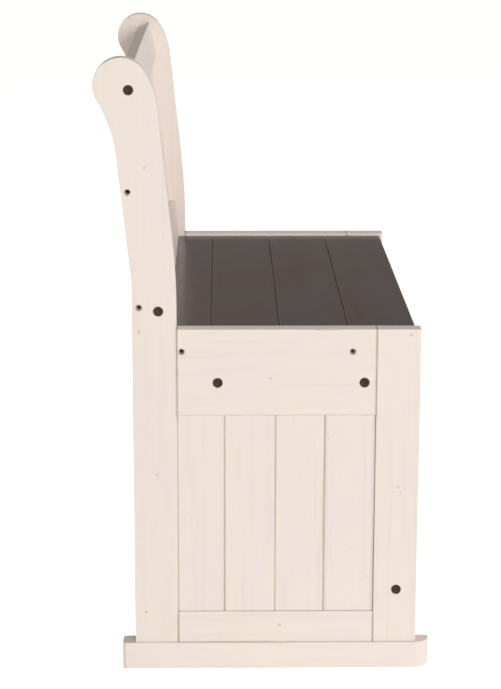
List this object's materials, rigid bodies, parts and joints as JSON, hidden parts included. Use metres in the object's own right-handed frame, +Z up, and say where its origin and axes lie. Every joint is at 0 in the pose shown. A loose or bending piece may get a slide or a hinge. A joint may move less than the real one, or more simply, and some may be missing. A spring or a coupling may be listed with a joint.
{
  "type": "short bench",
  "caption": "Short settle bench with plank-panelled sides on sled feet, a scrolled, leaning plank back and a dark plank seat on two bearers.",
  "frame": {"origin": "on the floor, under the middle of the bench's overall box", "axes": "+X along the seat to the sitter's left, -Y towards the front, +Z up"},
  "size_m": [0.745, 0.4655, 0.8639],
  "materials": {
    "white_paint": "aged matt white paint on solid pine, tan along the joints",
    "dark_stain": "dark brown satin stain on solid pine",
    "dark_plugs": "dark stained hardwood plugs",
    "beech": "bare beech dowel",
    "zinc_steel": "bright zinc plate"
  },
  "bodies": {
    "root": {"left_rear_leg": "white_paint", "right_rear_leg": "white_paint", "left_front_leg": "white_paint", "right_front_leg": "white_paint", "left_side_rail": "white_paint", "right_side_rail": "white_paint", "left_low_rail": "white_paint", "right_low_rail": "white_paint", "left_foot": "white_paint", "right_foot": "white_paint", "left_side_plank_1": "white_paint", "left_side_plank_2": "white_paint", "left_side_plank_3": "white_paint", "left_side_plank_4": "white_paint", "right_side_plank_1": "white_paint", "right_side_plank_2": "white_paint", "right_side_plank_3": "white_paint", "right_side_plank_4": "white_paint", "left_frame_dowels": "beech", "right_frame_dowels": "beech", "left_foot_screws": "zinc_steel", "right_foot_screws": "zinc_steel", "crest_rail": "white_paint", "lower_back_rail": "white_paint", "back_plank_1": "white_paint", "back_plank_2": "white_paint", "back_plank_3": "white_paint", "back_plank_4": "white_paint", "back_plank_5": "white_paint", "back_plank_6": "white_paint", "back_plank_7": "white_paint", "back_plank_8": "white_paint", "back_plank_9": "white_paint", "back_plank_10": "white_paint", "rear_seat_bearer": "white_paint", "front_seat_bearer": "white_paint", "front_stretcher": "white_paint", "seat_plank_1": "dark_stain", "seat_plank_2": "dark_stain", "seat_plank_3": "dark_stain", "seat_plank_4": "dark_stain", "left_seat_batten": "dark_stain", "middle_seat_batten": "dark_stain", "right_seat_batten": "dark_stain", "plank_screws": "zinc_steel", "bearer_screws": "zinc_steel", "left_plugs": "dark_plugs", "right_plugs": "dark_plugs", "left_connector_bolts": "zinc_steel", "right_connector_bolts": "zinc_steel", "left_barrel_nuts": "zinc_steel", "right_barrel_nuts": "zinc_steel"}
  },
  "joints": []
}
